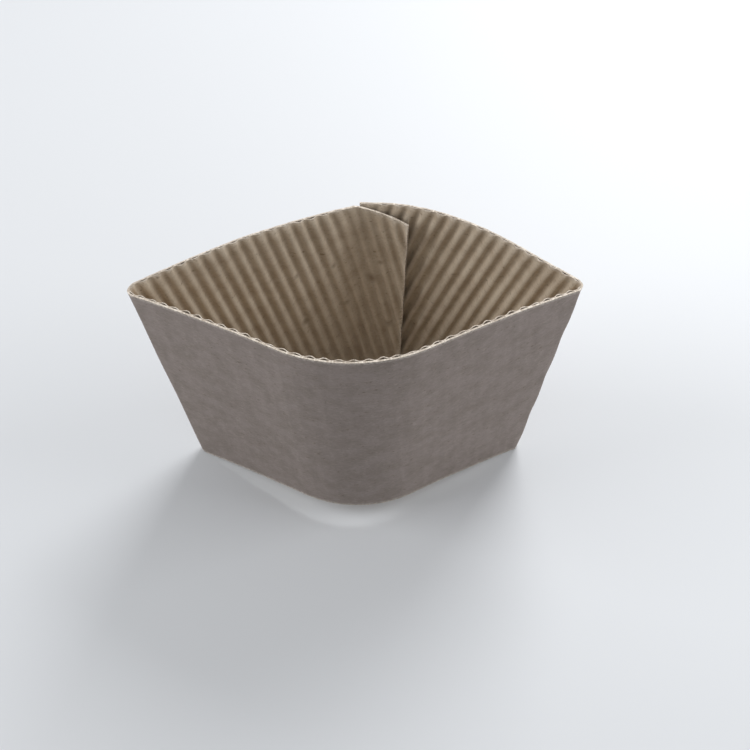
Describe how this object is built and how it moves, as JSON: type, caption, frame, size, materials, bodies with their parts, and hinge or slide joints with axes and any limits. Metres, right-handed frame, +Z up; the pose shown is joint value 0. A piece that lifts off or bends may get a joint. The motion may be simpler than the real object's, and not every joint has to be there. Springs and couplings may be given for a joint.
{
  "type": "coffee cup sleeve",
  "caption": "Tapered band of single-face corrugated board, smooth outside and fluted inside, creased at both sides and glued with a lap, that slips round a hot paper cup.",
  "frame": {"origin": "middle of the bounding box in plan, at the height of the two bottom corners that the sleeve stands on", "axes": "+X from the left crease to the right one, seen from the front; +Y from the front bow to the glued seam at the back; +Z up, towards the wide rim"},
  "size_m": [0.1108, 0.0578, 0.0702],
  "materials": {
    "liner": "matt",
    "medium": "matt"
  },
  "bodies": {
    "root": {"outer_liner": "liner", "fluted_medium": "medium"}
  },
  "joints": []
}
